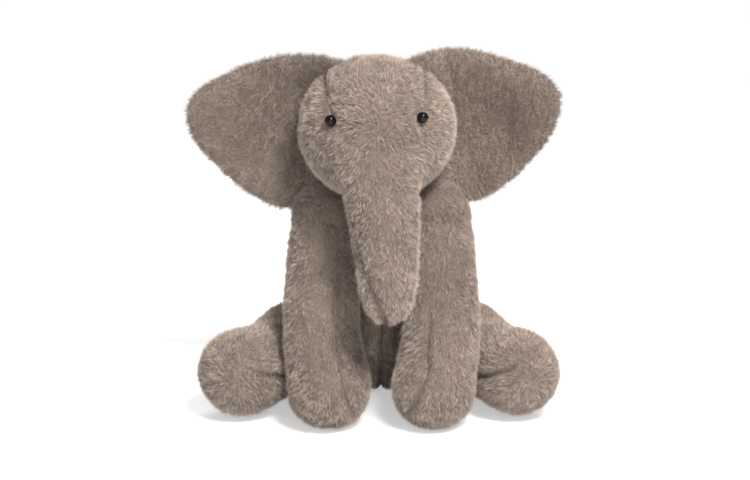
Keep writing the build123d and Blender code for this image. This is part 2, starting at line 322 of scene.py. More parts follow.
def puff(piece, seams):
    """Blow the skin out a little with cloth simulation, held along its seams."""
    mesh = piece.data
    start = positions(mesh)
    held = np.zeros(len(start))
    for point, normal in seams:
        distance = np.abs((start - np.array(point)) @ unit(np.array(normal, float)))
        held = np.maximum(held, distance < PUFF_HELD * MM)
    held = np.maximum(held, start[:, 2] < FLOOR_HELD * MM)
    group = piece.vertex_groups.new(name="held")
    group.add(np.flatnonzero(held > 0).tolist(), 1.0, "REPLACE")
    modifier = piece.modifiers.new("puff", "CLOTH")
    for key, value in CLOTH.items():
        setattr(modifier.settings, key, value)
    modifier.settings.effector_weights.gravity = 0
    modifier.collision_settings.use_collision = False
    modifier.point_cache.frame_start = 1
    modifier.point_cache.frame_end = PUFF_FRAMES
    scene = bpy.context.scene
    for number in range(1, PUFF_FRAMES + 1):
        scene.frame_set(number)
    graph = bpy.context.evaluated_depsgraph_get()
    moved = positions(piece.evaluated_get(graph).data) - start
    piece.modifiers.clear()
    piece.vertex_groups.clear()
    length = np.linalg.norm(moved, axis=1, keepdims=True)
    cap = PUFF_CAP * MM
    moved *= np.minimum(1, cap / np.maximum(length, 1e-9))
    set_positions(mesh, start + moved)
    scene.frame_set(1)


class Seam:
    """A sewn line: how far places are from it, in millimetres, and how strongly it shows there."""

    def __init__(self, distance, across, shows, depth):
        self.distance = distance
        self.across = np.array(across, float)
        self.shows = shows
        self.depth = depth

    def parting(self, places):
        """The way that the pile falls on each side of the seam."""
        strength = np.sign(self.distance(places)) * self.valley(places, PARTING_WIDTH)
        return strength[:, None] * self.across

    def valley(self, places, width):
        return np.exp(-((self.distance(places) / width) ** 2)) * self.shows(places)


def plane_seam(point, normal, shows=everywhere, depth=SEAM_DEPTH):
    """A seam where a plane meets the skin.  The point is in metres."""
    point = np.array(point, float)
    normal = unit(np.array(normal, float))

    def distance(places):
        waver = noise(places, 30 * MM, 5)[:, 0] * 1.2
        return ((places - point) @ normal) / MM + waver

    return Seam(distance, normal, shows, depth)


def line_seam(heights, offsets, side=1, shows=everywhere, depth=SEAM_DEPTH):
    """A seam that runs down the front: its x for each height, in millimetres."""

    def distance(places):
        line = np.interp(places[:, 2] / MM, heights, offsets) * side
        waver = noise(places * np.array([0.0, 0.0, 1.0]), 14 * MM, 6)[:, 0] * 1.3
        return places[:, 0] / MM - line + waver

    return Seam(distance, (1, 0, 0), shows, depth)


def sew(piece, seams):
    """Press the valley of each seam into the skin."""
    co = positions(piece.data)
    normals = vertex_normals(piece.data)
    depth = np.zeros(len(co))
    for seam in seams:
        depth = np.maximum(depth, seam.valley(co, SEAM_WIDTH) * seam.depth)
    set_positions(piece.data, co - normals * depth[:, None] * MM)


def ruffle(piece, seed):
    """Real relief of the pile: soft undulations, and small locks that lie down the coat."""
    co = positions(piece.data)
    normals = vertex_normals(piece.data)
    stretched = co * np.array([1.0, 1.0, 0.62])
    way, own = tufts(stretched, TUFT * MM, seed)
    lock = 1 - np.clip(np.linalg.norm(way, axis=1) / (0.75 * TUFT * MM), 0, 1) ** 2
    lift = 0.55 * lock * (0.5 + own) + 0.7 * noise(co, 22 * MM, seed)[:, 0]
    lift += 0.35 * noise(co, 9 * MM, seed)[:, 1]
    set_positions(piece.data, co + normals * (lift * MM)[:, None])


def cut(piece, point, normal, names):
    """Split a skin into two panels along a seam plane: first the side that the normal points to."""
    panels = []
    for name, direction in zip(names, (-1, 1)):
        bm = bmesh.new()
        bm.from_mesh(piece.data)
        bmesh.ops.bisect_plane(
            bm,
            geom=bm.verts[:] + bm.edges[:] + bm.faces[:],
            plane_co=Vector(point),
            plane_no=Vector(normal) * direction,
            clear_outer=True,
        )
        mesh = bpy.data.meshes.new(name)
        bm.to_mesh(mesh)
        bm.free()
        panels.append(add_object(name, mesh))
    bpy.data.objects.remove(piece)
    return panels


def thicken(piece):
    """Give a panel the thickness of its backing, inwards."""
    modifier = piece.modifiers.new("backing", "SOLIDIFY")
    modifier.thickness = BACKING * MM
    modifier.offset = -1
    modifier.use_even_offset = False
    return bake_modifiers(piece)


def shade(piece, smooth=True):
    piece.data.polygons.foreach_set("use_smooth", [smooth] * len(piece.data.polygons))
    piece.data.update()


# ---- Materials ----
TAUPE = (0.300, 0.232, 0.190)
TAUPE_LIGHT = (0.430, 0.345, 0.292)
# TAUPE_DARK, the pile's darkest stop, is reached mostly in the painted shade of the gaps between locks
TAUPE_DARK = (0.120, 0.086, 0.068)


class Nodes:
    """A small helper to lay out a material's nodes."""

    def __init__(self, name):
        self.material = bpy.data.materials.new(name)
        self.material.use_nodes = True
        self.tree = self.material.node_tree
        self.shader = self.tree.nodes["Principled BSDF"]

    def add(self, kind, values=None, **settings):
        node = self.tree.nodes.new(kind)
        for key, value in settings.items():
            setattr(node, key, value)
        for key, value in (values or {}).items():
            node.inputs[key].default_value = value
        return node

    def link(self, source, target):
        self.tree.links.new(source, target)

    def place(self, scale=(1, 1, 1)):
        coords = self.add("ShaderNodeTexCoord")
        mapping = self.add("ShaderNodeMapping", {"Scale": scale})
        self.link(coords.outputs["Object"], mapping.inputs["Vector"])
        return mapping.outputs["Vector"]

    def noise(self, place, scale, detail=2.0, roughness=0.5):
        values = {"Scale": scale, "Detail": detail, "Roughness": roughness}
        node = self.add("ShaderNodeTexNoise", values)
        self.link(place, node.inputs["Vector"])
        return node.outputs["Fac"]

    def math(self, operation, first, second):
        node = self.add("ShaderNodeMath", operation=operation)
        for socket, value in zip(node.inputs, (first, second)):
            if isinstance(value, (int, float)):
                socket.default_value = value
            else:
                self.link(value, socket)
        return node.outputs[0]

    def ramp(self, source, stops):
        node = self.add("ShaderNodeValToRGB")
        elements = node.color_ramp.elements
        while len(elements) < len(stops):
            elements.new(0.5)
        for element, (at, colour) in zip(elements, stops):
            element.position = at
            element.color = (*colour, 1)
        self.link(source, node.inputs["Fac"])
        return node.outputs["Color"]

    def paint(self, source, stops):
        self.link(self.ramp(source, stops), self.shader.inputs["Base Color"])

    def wave(self, place, scale, distortion, **settings):
        node = self.add("ShaderNodeTexWave", {"Scale": scale, "Distortion": distortion}, **settings)
        self.link(place, node.inputs["Vector"])
        return node.outputs["Fac"]

    def bump(self, height, strength, distance):
        node = self.add("ShaderNodeBump", {"Strength": strength, "Distance": distance})
        self.link(height, node.inputs["Height"])
        self.link(node.outputs["Normal"], self.shader.inputs["Normal"])

    def set(self, **values):
        for key, value in values.items():
            self.shader.inputs[key.replace("_", " ")].default_value = value


def pile_fabric():
    """The coat as a surface: soft blotches, locks with painted shade in the gaps between them, and fine hair grain
    down the coat.
    """
    nodes = Nodes("pile_fabric")
    place = nodes.place()
    down = nodes.place((1.0, 1.0, 0.45))
    blotch = nodes.noise(place, 28.0, 3.0)
    grain = nodes.noise(down, 950.0, 3.0, 0.6)
    lock = nodes.add("ShaderNodeTexVoronoi", {"Scale": 230.0, "Randomness": 1.0}, feature="SMOOTH_F1")
    nodes.link(down, lock.inputs["Vector"])
    # painted shade: the gaps between locks are darkened in the colour, and the same gaps sink the bump
    gap = nodes.math("MULTIPLY", lock.outputs["Distance"], 0.42)
    tone = nodes.math("ADD", nodes.math("MULTIPLY", blotch, 0.45), nodes.math("MULTIPLY", grain, 0.55))
    tone = nodes.math("SUBTRACT", tone, nodes.math("MULTIPLY", gap, 0.55))
    nodes.paint(tone, ((0.12, TAUPE_DARK), (0.38, TAUPE), (0.72, TAUPE_LIGHT)))
    height = nodes.math("SUBTRACT", nodes.math("MULTIPLY", grain, 0.6), gap)
    nodes.bump(height, 0.9, 1.2 * MM)
    nodes.set(Roughness=0.95, Sheen_Weight=0.35, Sheen_Roughness=0.5, Specular_IOR_Level=0.12)
    return nodes.material


def fur_strands():
    """Hair of the coat: painted shade darkens each hair towards its root, lighter and a little warmer at the tip,
    no two quite alike.
    """
    nodes = Nodes("fur_strands")
    hair = nodes.add("ShaderNodeHairInfo")
    tint = nodes.add("ShaderNodeAttribute", attribute_name="tint", attribute_type="GEOMETRY")
    # painted shade: each hair darkens towards its root, deep in the pile
    along = nodes.ramp(
        hair.outputs["Intercept"],
        ((0.0, (0.150, 0.111, 0.090)), (0.45, (0.435, 0.350, 0.296)), (1.0, (0.680, 0.568, 0.494))),
    )
    scale = nodes.add("ShaderNodeMix", {"Factor": 1.0}, data_type="RGBA", blend_type="MULTIPLY")
    nodes.link(along, scale.inputs[6])
    nodes.link(tint.outputs["Fac"], scale.inputs[7])
    nodes.link(scale.outputs[2], nodes.shader.inputs["Base Color"])
    nodes.set(Roughness=0.62, Sheen_Weight=0.15, Specular_IOR_Level=0.22)
    return nodes.material


def eye_gloss():
    """Polished black plastic with a painted brown sheen towards the rim of the dome, and the finest scratches."""
    nodes = Nodes("eye_gloss")
    # painted sheen: the black lightens to brown where the dome turns away from the view
    depth = nodes.add("ShaderNodeLayerWeight", {"Blend": 0.35})
    nodes.paint(depth.outputs["Facing"], ((0.0, (0.004, 0.003, 0.003)), (1.0, (0.020, 0.013, 0.010))))
    wear = nodes.noise(nodes.place(), 1800.0, 2.0)
    nodes.link(nodes.math("MULTIPLY", wear, 0.16), nodes.shader.inputs["Roughness"])
    nodes.set(Specular_IOR_Level=0.32)
    return nodes.material


def fibre_filling():
    """White crimped fibre: tangled strands in soft balls."""
    nodes = Nodes("fibre_filling")
    place = nodes.place()
    tangle = nodes.noise(place, 420.0, 6.0, 0.7)
    ball = nodes.noise(place, 60.0, 2.0)
    tone = nodes.math("ADD", nodes.math("MULTIPLY", tangle, 0.6), nodes.math("MULTIPLY", ball, 0.4))
    nodes.paint(tone, ((0.3, (0.62, 0.61, 0.59)), (0.7, (0.92, 0.91, 0.89))))
    nodes.bump(tone, 0.8, 2.0 * MM)
    nodes.set(Roughness=0.95, Sheen_Weight=0.5)
    return nodes.material


def woven_pouch():
    """Plain-woven cotton of the bean bags."""
    nodes = Nodes("woven_pouch")
    place = nodes.place()
    warp = nodes.wave(place, 420.0, 0.6)
    weft = nodes.wave(place, 420.0, 0.6, bands_direction="Z")
    cloth = nodes.math("MULTIPLY", warp, weft)
    nodes.paint(cloth, ((0.1, (0.58, 0.54, 0.47)), (0.8, (0.82, 0.79, 0.72))))
    nodes.bump(cloth, 0.5, 0.4 * MM)
    nodes.set(Roughness=0.85)
    return nodes.material


def satin_label():
    """Blank satin ribbon with a fine weft."""
    nodes = Nodes("satin_label")
    weft = nodes.wave(nodes.place(), 900.0, 0.3, bands_direction="Z")
    nodes.paint(weft, ((0.0, (0.74, 0.73, 0.70)), (1.0, (0.88, 0.87, 0.84))))
    nodes.bump(weft, 0.3, 0.1 * MM)
    nodes.set(Roughness=0.4, Sheen_Weight=0.3)
    return nodes.material


def moulded_washer():
    """Natural moulded plastic with a faint mould texture."""
    nodes = Nodes("moulded_washer")
    grain = nodes.noise(nodes.place(), 1500.0, 2.0)
    nodes.paint(grain, ((0.3, (0.70, 0.70, 0.67)), (0.7, (0.82, 0.82, 0.80))))
    nodes.bump(grain, 0.2, 0.1 * MM)
    nodes.set(Roughness=0.5)
    return nodes.material


PAPER_GLOW = (0.46, 0.78)   # near the toy, where its shadow has to show, and far away


def studio_paper():
    """Near-white backdrop paper, bright enough to read as white."""
    nodes = Nodes("studio_paper")
    place = nodes.place()
    grain = nodes.noise(place, 300.0, 3.0)
    nodes.paint(grain, ((0.2, (0.90, 0.90, 0.90)), (0.8, (0.93, 0.93, 0.93))))
    far = nodes.add("ShaderNodeVectorMath", operation="LENGTH")
    nodes.link(place, far.inputs[0])
    near, wide = PAPER_GLOW
    values = {"From Min": 0.4, "From Max": 3.0, "To Min": near, "To Max": wide}
    glow = nodes.add("ShaderNodeMapRange", values)
    nodes.link(far.outputs["Value"], glow.inputs["Value"])
    seen = nodes.add("ShaderNodeLightPath").outputs["Is Camera Ray"]
    strength = nodes.math("MULTIPLY", seen, glow.outputs["Result"])
    nodes.link(strength, nodes.shader.inputs["Emission Strength"])
    nodes.set(Roughness=0.9, Emission_Color=(1, 1, 1, 1))
    return nodes.material


PILE = pile_fabric()
STRANDS = fur_strands()
SLOT_MATERIALS = {
    "eye": eye_gloss(),
    "filling": fibre_filling(),
    "bean_bag": woven_pouch(),
    "label": satin_label(),
    "washer": moulded_washer(),
}


# ---- Fur ----
def downwards(places):
    """The coat's usual lie: down the body."""
    return np.tile((0.0, 0.0, -1.0), (len(places), 1))


class Coat:
    """How one skin's fur grows: its lie, its length, where it is short or missing, and its tone, painted shade
    over the whole coat where it isn't 1.
    """

    def __init__(self, seed, flow=downwards, length=FUR_LENGTH, trim=everywhere, seams=(), tone=1.0):
        self.seed = seed
        self.flow = flow
        self.length = length
        self.trim = trim
        self.seams = seams
        # tone below 1 is painted shade over the whole coat
        self.tone = tone

    def in_seam(self, places, width):
        """How deep in a seam each place lies, from 0 to 1."""
        valley = np.zeros(len(places))
        for seam in self.seams:
            valley = np.maximum(valley, seam.valley(places, width))
        return valley


def scatter(mesh, density, rng):
    """Random places over a mesh with their normals."""
    mesh.calc_loop_triangles()
    corners = read(mesh.loop_triangles, "vertices", 3)
    co = positions(mesh)
    normals = vertex_normals(mesh)
    a, b, c = (co[corners[:, k]] for k in range(3))
    area = np.linalg.norm(np.cross(b - a, c - a), axis=1) / 2
    count = int(area.sum() / MM**2 * density)
    pick = rng.choice(len(area), size=count, p=area / area.sum())
    share = rng.random((count, 2))
    fold = share.sum(1) > 1
    share[fold] = 1 - share[fold]
    u, v = share[:, :1], share[:, 1:]
    place = a[pick] * (1 - u - v) + b[pick] * u + c[pick] * v
    n0, n1, n2 = (normals[corners[pick, k]] for k in range(3))
    return place, unit(n0 * (1 - u - v) + n1 * u + n2 * v)


def strands(mesh, coat):
    """Roots, points and tints of the hairs that grow on a mesh."""
    rng = np.random.default_rng(coat.seed)
    root, normal = scatter(mesh, FUR_DENSITY, rng)
    trim = coat.trim(root) * (1 - 0.80 * coat.in_seam(root, 1.7))
    keep = trim > FUR_LEAST
    root, normal, trim = root[keep], normal[keep], trim[keep]
    count = len(root)
    way, own = tufts(root, TUFT * MM, coat.seed)
    way = across(way, normal)
    waver = noise(root, 16 * MM, coat.seed + 1)
    flick = noise(root, 3 * MM, coat.seed + 2)
    lie_way = coat.flow(root) + 0.55 * waver
    for seam in coat.seams:
        lie_way = lie_way + 1.6 * seam.parting(root)
    comb = unit(across(lie_way, normal))
    length = coat.length * MM * trim * (0.78 + 0.35 * own) * rng.uniform(0.8, 1.08, count)
    stray = rng.normal(0, 0.13, (count, 3))
    points = np.zeros((count, FUR_POINTS, 3))
    for index, t in enumerate(np.linspace(0, 1, FUR_POINTS)):
        rise = 0.74 * t - 0.14 * t * t
        lie = FUR_LEAN * t**1.5
        step = normal * rise + comb * lie + flick * 0.25 * t + stray * t
        gather = way * (0.55 * t**1.2)
        points[:, index] = root + step * length[:, None] + gather
    tint = 1.0 + 0.14 * noise(root, 35 * MM, coat.seed + 3)[:, 0]
    tint += 0.20 * noise(root, 7 * MM, coat.seed + 4)[:, 0]
    tint += 0.45 * (own - 0.5) + rng.normal(0, 0.13, count)
    # painted shade: the coat's tone darkens whole panels, and hairs in a seam's valley are darkened further
    tint *= coat.tone * (1 - 0.82 * coat.in_seam(root, 2.0))
    return root, points, np.clip(tint, 0.2, 1.8)


def grow_fur(piece, coat, source):
    """Hair that grows on the source mesh.  It isn't a piece itself: it goes wherever the piece goes."""
    root, points, tint = strands(source, coat)
    data = bpy.data.hair_curves.new("fur_" + piece.name)
    data.add_curves([FUR_POINTS] * len(root))
    data.points.foreach_set("position", points.astype(np.float32).ravel())
    taper = np.tile(np.linspace(1, 0.35, FUR_POINTS), len(root)) * FUR_RADIUS * MM
    store(data, "radius", "FLOAT", "POINT", taper.astype(np.float32))
    store(data, "tint", "FLOAT", "CURVE", tint.astype(np.float32))
    data.materials.append(STRANDS)
    hair = add_object("fur_" + piece.name, data)
    if "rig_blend" in piece:
        tie_to_skin(hair, piece, root)
    else:
        hair.parent = piece
        hair.matrix_parent_inverse = piece.matrix_world.inverted()
    return hair


def tie_to_skin(hair, piece, root):
    """Make each hair follow the nearest vertex of a skin that bends."""
    places = positions(piece.data)
    normals = vertex_normals(piece.data)
    tree = kdtree.KDTree(len(places))
    for index, place in enumerate(places):
        tree.insert(place, index)
    tree.balance()
    anchor = np.array([tree.find(place)[1] for place in root], np.int32)
    store(hair.data, "anchor", "INT", "CURVE", anchor)
    for name, values in (("rest_place", places), ("rest_normal", normals)):
        store(hair.data, name, "FLOAT_VECTOR", "CURVE", values[anchor].astype(np.float32))
    modifier = hair.modifiers.new("follow", "NODES")
    modifier.node_group = follow_group(piece)


def follow_group(piece):
    """Geometry nodes that carry hair with a bending skin."""
    group = bpy.data.node_groups.new("follow_" + piece.name, "GeometryNodeTree")
    group.interface.new_socket("Geometry", in_out="INPUT", socket_type="NodeSocketGeometry")
    group.interface.new_socket("Geometry", in_out="OUTPUT", socket_type="NodeSocketGeometry")

    def node(kind, **settings):
        made = group.nodes.new(kind)
        for key, value in settings.items():
            setattr(made, key, value)
        return made

    link = group.links.new

    def named(name, kind):
        made = node("GeometryNodeInputNamedAttribute", data_type=kind)
        made.inputs["Name"].default_value = name
        return made.outputs["Attribute"]

    def sampled(skin, field):
        made = node("GeometryNodeSampleIndex", data_type="FLOAT_VECTOR", domain="POINT")
        link(skin.outputs["Geometry"], made.inputs["Geometry"])
        link(field, made.inputs["Value"])
        link(named("anchor", "INT"), made.inputs["Index"])
        return made.outputs["Value"]

    def vector(operation, first, second, output="Vector"):
        made = node("ShaderNodeVectorMath", operation=operation)
        link(first, made.inputs[0])
        link(second, made.inputs[1])
        return made.outputs[output]

    skin = node("GeometryNodeObjectInfo")
    skin.inputs["Object"].default_value = piece
    here = node("GeometryNodeInputPosition").outputs["Position"]
    facing = node("GeometryNodeInputNormal").outputs["Normal"]
    rest_place = named("rest_place", "FLOAT_VECTOR")
    rest_normal = named("rest_normal", "FLOAT_VECTOR")
    now_place = sampled(skin, here)
    now_normal = sampled(skin, facing)
    cosine = node("ShaderNodeMath", operation="ARCCOSINE", use_clamp=False)
    limited = node("ShaderNodeClamp")
    limited.inputs["Min"].default_value = -1.0
    link(vector("DOT_PRODUCT", rest_normal, now_normal, "Value"), limited.inputs["Value"])
    link(limited.outputs["Result"], cosine.inputs[0])
    turn = node("ShaderNodeVectorRotate", rotation_type="AXIS_ANGLE")
    link(here, turn.inputs["Vector"])
    link(rest_place, turn.inputs["Center"])
    link(vector("CROSS_PRODUCT", rest_normal, now_normal), turn.inputs["Axis"])
    link(cosine.outputs[0], turn.inputs["Angle"])
    shift = vector("SUBTRACT", now_place, rest_place)
    final = vector("ADD", turn.outputs["Vector"], shift)
    start = node("NodeGroupInput")
    end = node("NodeGroupOutput")
    move = node("GeometryNodeSetPosition")
    link(start.outputs["Geometry"], move.inputs["Geometry"])
    link(final, move.inputs["Position"])
    link(move.outputs["Geometry"], end.inputs["Geometry"])
    return group


# ---- Closed skins that fillings have to stay inside ----
INSIDE = {}


def remember(skin, *bodies):
    tree = BVHTree.FromObject(skin, bpy.context.evaluated_depsgraph_get())
    for body in bodies:
        INSIDE[body] = tree


def keep_inside(co, tree, gap):
    """Move places that come nearer than gap to a skin, or through it, back inside."""
    out = co.copy()
    for index, place in enumerate(co):
        spot, normal, *_ = tree.find_nearest(Vector(place))
        depth = (spot - Vector(place)).dot(normal)
        if depth < gap:
            out[index] = spot - normal * gap
    return out


# ---- From a raw skin to finished panels ----
def finish_skin(piece, seed, puff_seams=(), sewn=()):
    """Puff, subdivide, sew and ruffle a closed skin."""
    puff(piece, puff_seams)
    relax(piece.data, 3)
    subdivide(piece)
    sew(piece, sewn)
    ruffle(piece, seed)
    return piece


def finish_panel(piece, coat, nodes, body=None, bend=None):
    """Dress one panel, join it to the frame and grow its fur."""
    dress(piece, PILE)
    outer = piece.data.copy()
    thicken(piece)
    shade(piece)
    if bend:
        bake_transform(piece, *bend)
    else:
        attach(piece, body)
    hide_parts(*nodes)
    grow_fur(piece, coat, outer)
    return piece


# ---- The head's own tilt ----
NECK = PIVOT["head_nod"] / MM
ROLL = math.atan2(AXIS["head_nod"][2], AXIS["head_nod"][0])
HEAD_MIDDLE = np.array([0.0, -76.0, 256.0])
TRUNK_ROOT = np.array([0.0, PIVOT["trunk_lift"][1] / MM, 226.0])
TRUNK_BEND = np.array([0.0, PIVOT["trunk_curl"][1] / MM, 160.0])


def tilt(places):
    """From the upright head's frame to the frame of the whole toy, in millimetres."""
    moved = np.atleast_2d(np.array(places, float)) - np.array([0.0, NECK[1], NECK[2]])
    x = moved[:, 0] * math.cos(ROLL) - moved[:, 2] * math.sin(ROLL)
    z = moved[:, 0] * math.sin(ROLL) + moved[:, 2] * math.cos(ROLL)
    out = np.stack([x, moved[:, 1], z], 1) + NECK
    return out if np.ndim(places) > 1 else out[0]


def tilt_way(way):
    return tilt(np.array(way, float) + TRUNK_BEND) - tilt(TRUNK_BEND)


def tilt_piece(piece):
    set_positions(piece.data, tilt(positions(piece.data) / MM) * MM)


def eye_middle(name, side):
    """Centre of an eye's dome, from the box of the whole eye."""
    low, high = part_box(name)
    radius = EYE_RADIUS * MM
    x = high.x - radius if side > 0 else low.x + radius
    return np.array([x, low.y + radius, high.z - radius])


EYES = [eye_middle("eye_" + name, side) for side, name in SIDES]
EYE_BARE = 6.2          # no fur nearer to an eye's centre than this
EYE_FUR = 13.0          # full length from here on
DIMPLE_DEPTH = 3.8
DIMPLE_REACH = 9.0
NECK_RADIUS = 40


# ---- Torso ----
def inset(semi):
    return tuple(side - FUR_RISE for side in semi)


def make_torso():
    low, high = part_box("torso_panel_left")
    depth = (high.y - low.y) / MM
    lumps = [
        ((0, 0, 78), inset((84, depth / 2 - 5, 84))),
        ((0, -22, 138), inset((67, 50, 74))),
        ((0, -12, 112), inset((74, 56, 60))),
        ((0, 15, 42), inset((62, 52, 44))),
        ((0, 14, 66), inset((40, 54, 30))),
        ((0, -50, 168), inset((64, 38, 36))),
        ((0, -42, 192), inset((50, 40, 34))),
        ((45, -52, 172), inset((38, 38, 42))),
        ((-45, -52, 172), inset((38, 38, 42))),
    ]
    skin = blob("torso", lumps, smoothing=14)
    sit_on_floor(skin)
    middle = ((0, 0, 0), (1, 0, 0))
    seams = [plane_seam(*middle)]
    finish_skin(skin, 11, [middle], seams)
    remember(skin, "torso")
    panels = cut(skin, *middle, ("torso_left", "torso_right"))
    for panel, (side, name) in zip(panels, SIDES):
        # tone 0.80 is painted shade: the torso's coat is darkened where it lies in shade under the head and
        # between the legs
        coat = Coat(21 + side, torso_flow, seams=seams, tone=0.80)
        finish_panel(panel, coat, ["torso_panel_" + name], "torso")
    collar = blob("neck_collar", [(NECK, [NECK_RADIUS] * 3)], smoothing=2)
    finish_skin(collar, 13)
    finish_panel(collar, Coat(17), ["neck_stuffing"], "neck")


def torso_flow(places):
    """Down the body, and outwards from the middle seam."""
    out = np.tile((0.0, 0.1, -1.0), (len(places), 1))
    out[:, 0] += 0.35 * np.sign(places[:, 0])
    return out


# ---- Head and trunk ----
GUSSET_HALF = 37.0
GUSSET_LEAN = 0.10
TRUNK_CUT = 50          # where the trunk's skin is cut in two, measured down from its root
UPPER_BEND = (4, 46)    # the stretches of the trunk that bend at its root and at its middle
TIP_BEND = (52, 98)
TRUNK_PATH = [
    (0, -104, 248, 42), (1, -118, 228, 36.5), (3, -133, 202, 33), (4.5, -146, 174, 29.8),
    (4.8, -153, 152, 27.8), (4.5, -157, 136, 26.2), (4.2, -159, 123.5, 22.3),
]


def gusset_plane(side):
    """The seam just inside an eye, from the brow over the crown: (point, normal) in metres."""
    point = tilt((side * GUSSET_HALF, HEAD_MIDDLE[1], 262.0)) * MM
    return point, tilt_way((side, 0, -GUSSET_LEAN))


def brow_shows(side):
    """The brow seam shows well over the toy's right eye and only faintly over the left one."""

    def shows(places):
        z = places[:, 2] / MM
        if side < 0:
            return between(z, 262, 276)
        return 0.45 * between(z, 278, 290)

    return shows


def trunk_cut():
    """The plane that parts the two panels of the trunk's tip."""
    upper = tilt((-16.0, -170.0, 165.0)) * MM
    tip = tilt((4.6, -170.0, 100.0)) * MM
    along = tip - upper
    return tip, (along[2], 0, -along[0])


def trunk_shows(places):
    """The seam down the front of the trunk gets stronger towards the tip."""
    z = places[:, 2] / MM
    front = between(places[:, 1] / MM, -140, -148)
    return (0.35 * between(z, 176, 164) + 0.55 * between(z, 150, 128)) * front * between(z, 103, 115)


TRUNK_SEAM = line_seam((100, 115, 137, 165, 185), (4.6, 1.5, -6.5, -16, -20), shows=trunk_shows)


def press_eyes(piece):
    """A dimple round each eye, where its washer draws the fabric in."""
    co = positions(piece.data)
    for eye in EYES:
        inwards = unit(tilt(HEAD_MIDDLE) * MM - eye)
        distance = np.linalg.norm(co - eye, axis=1) / MM
        co += inwards * (DIMPLE_DEPTH * MM * np.exp(-((distance / DIMPLE_REACH) ** 2)))[:, None]
    set_positions(piece.data, co)


def notch_tip(piece):
    """The seam ends in a small notch at the tip of the trunk."""
    tip, normal = trunk_cut()
    co = positions(piece.data)
    aside = np.abs((co - tip) @ unit(np.array(normal))) / MM
    below = np.clip((112 - co[:, 2] / MM) / 10, 0, 1)
    co[:, 2] += 1.2 * MM * np.exp(-((aside / 2.4) ** 2)) * below
    set_positions(piece.data, co)


def head_flow(places):
    """From the bridge of the trunk out over the brow and cheeks, and down the trunk."""
    bridge = tilt((0.0, -150.0, 262.0)) * MM
    out = unit(places - bridge)
    trunk = np.clip((232 - places[:, 2] / MM) / 18, 0, 1) * (places[:, 1] < -0.108)
    down = np.tile((0.0, -0.25, -1.0), (len(places), 1))
    out = out * 0.9 + down * 0.45
    return out * (1 - trunk[:, None]) + down * trunk[:, None]


def head_trim(places):
    """No fur on the eyes and short fur round them."""
    trim = np.ones(len(places))
    for eye in EYES:
        distance = np.linalg.norm(places - eye, axis=1) / MM
        grown = 0.45 + 0.55 * between(distance, EYE_BARE, EYE_FUR)
        trim = np.minimum(trim, np.where(distance < EYE_BARE, 0, grown))
    return trim


def make_head():
    skull = [(HEAD_MIDDLE + (0, 0, 3), inset((70.5, 68, 65.5)))]
    skin = blob("head", skull + chain(TRUNK_PATH, 26), smoothing=16)
    tilt_piece(skin)
    gussets = [gusset_plane(1), gusset_plane(-1)]
    seams = [plane_seam(*plane, brow_shows(side)) for plane, side in zip(gussets, (1, -1))] + [TRUNK_SEAM]
    finish_skin(skin, 31, gussets, seams)
    press_eyes(skin)
    notch_tip(skin)
    remember(skin, "head", "trunk_upper", "trunk_tip")
    root, bend = tilt(TRUNK_ROOT) * MM, tilt(TRUNK_BEND) * MM
    down = unit(bend - root)
    tip, head = cut(skin, root + down * TRUNK_CUT * MM, down, ("trunk_tip", "head_whole"))
    tip_panels = cut(tip, *trunk_cut(), ("trunk_tip_left", "trunk_tip_right"))
    lower_bend = ("trunk_upper", "trunk_tip", *(root + down * at * MM for at in TIP_BEND))
    stands_for = (["trunk_tip_front_panel"], ["trunk_tip_under_panel"])
    for panel, nodes in zip(tip_panels, stands_for):
        coat = Coat(41, head_flow, trim=head_trim, seams=seams)
        finish_panel(panel, coat, nodes, bend=lower_bend)
    left, rest = cut(head, *gussets[0], ("face_left", "head_rest"))
    right, gusset = cut(rest, *gussets[1], ("face_right", "gusset_and_trunk"))
    upper_bend = ("head", "trunk_upper", *(root + down * at * MM for at in UPPER_BEND))
    stands_for = (
        (left, ["face_panel_left"]),
        (right, ["face_panel_right"]),
        (gusset, ["head_gusset", "trunk_upper_front_panel", "trunk_upper_under_panel"]),
    )
    for panel, nodes in stands_for:
        coat = Coat(43, head_flow, trim=head_trim, seams=seams)
        finish_panel(panel, coat, nodes, bend=upper_bend)


# ---- Ears ----
EAR_OUTLINE = [
    (26, 314), (38, 320), (58, 322.5), (84, 321.5), (106, 317), (127, 310), (146, 301), (160, 290),
    (164, 277), (161, 259), (153, 243), (141, 226), (126, 210), (109, 197), (95, 189), (85, 186),
    (74, 187), (64, 195), (50, 215), (40, 245), (30, 285),
]
EAR_MIDDLE = (102.0, 256.0)
EAR_THICK = 9.0
EAR_AROUND = 150        # faces round the plate, and from its middle to its rim
EAR_ACROSS = 30
EAR_FUR = 5.0
# painted shade on the ears' coat: both ears darkened, the right ear more than the left
EAR_PAINTED_SHADE = {"left": 0.86, "right": 0.79}
LEFT_EAR_WIDTH = 0.955  # as a share of the right ear's
NARROW_FROM = 0.060     # metres from the middle: what lies here stays in place
WADDING_SIZE = 0.84
WADDING_THICK = 4.0


def smooth_loop(points, count):
    """A closed smooth curve through points, at even steps."""
    points = np.array(points, float)
    dense = []
    size = len(points)
    for index in range(size):
        corners = [points[(index + k) % size] for k in (-1, 0, 1, 2)]
        for share in np.linspace(0, 1, 24, endpoint=False):
            dense.append(curve_between(*corners, share))
    dense = np.array(dense + [dense[0]])
    steps = np.concatenate([[0], np.cumsum(np.linalg.norm(np.diff(dense, axis=0), axis=1))])
    wanted = np.linspace(0, steps[-1], count, endpoint=False)
    return np.stack([np.interp(wanted, steps, dense[:, k]) for k in (0, 1)], 1)


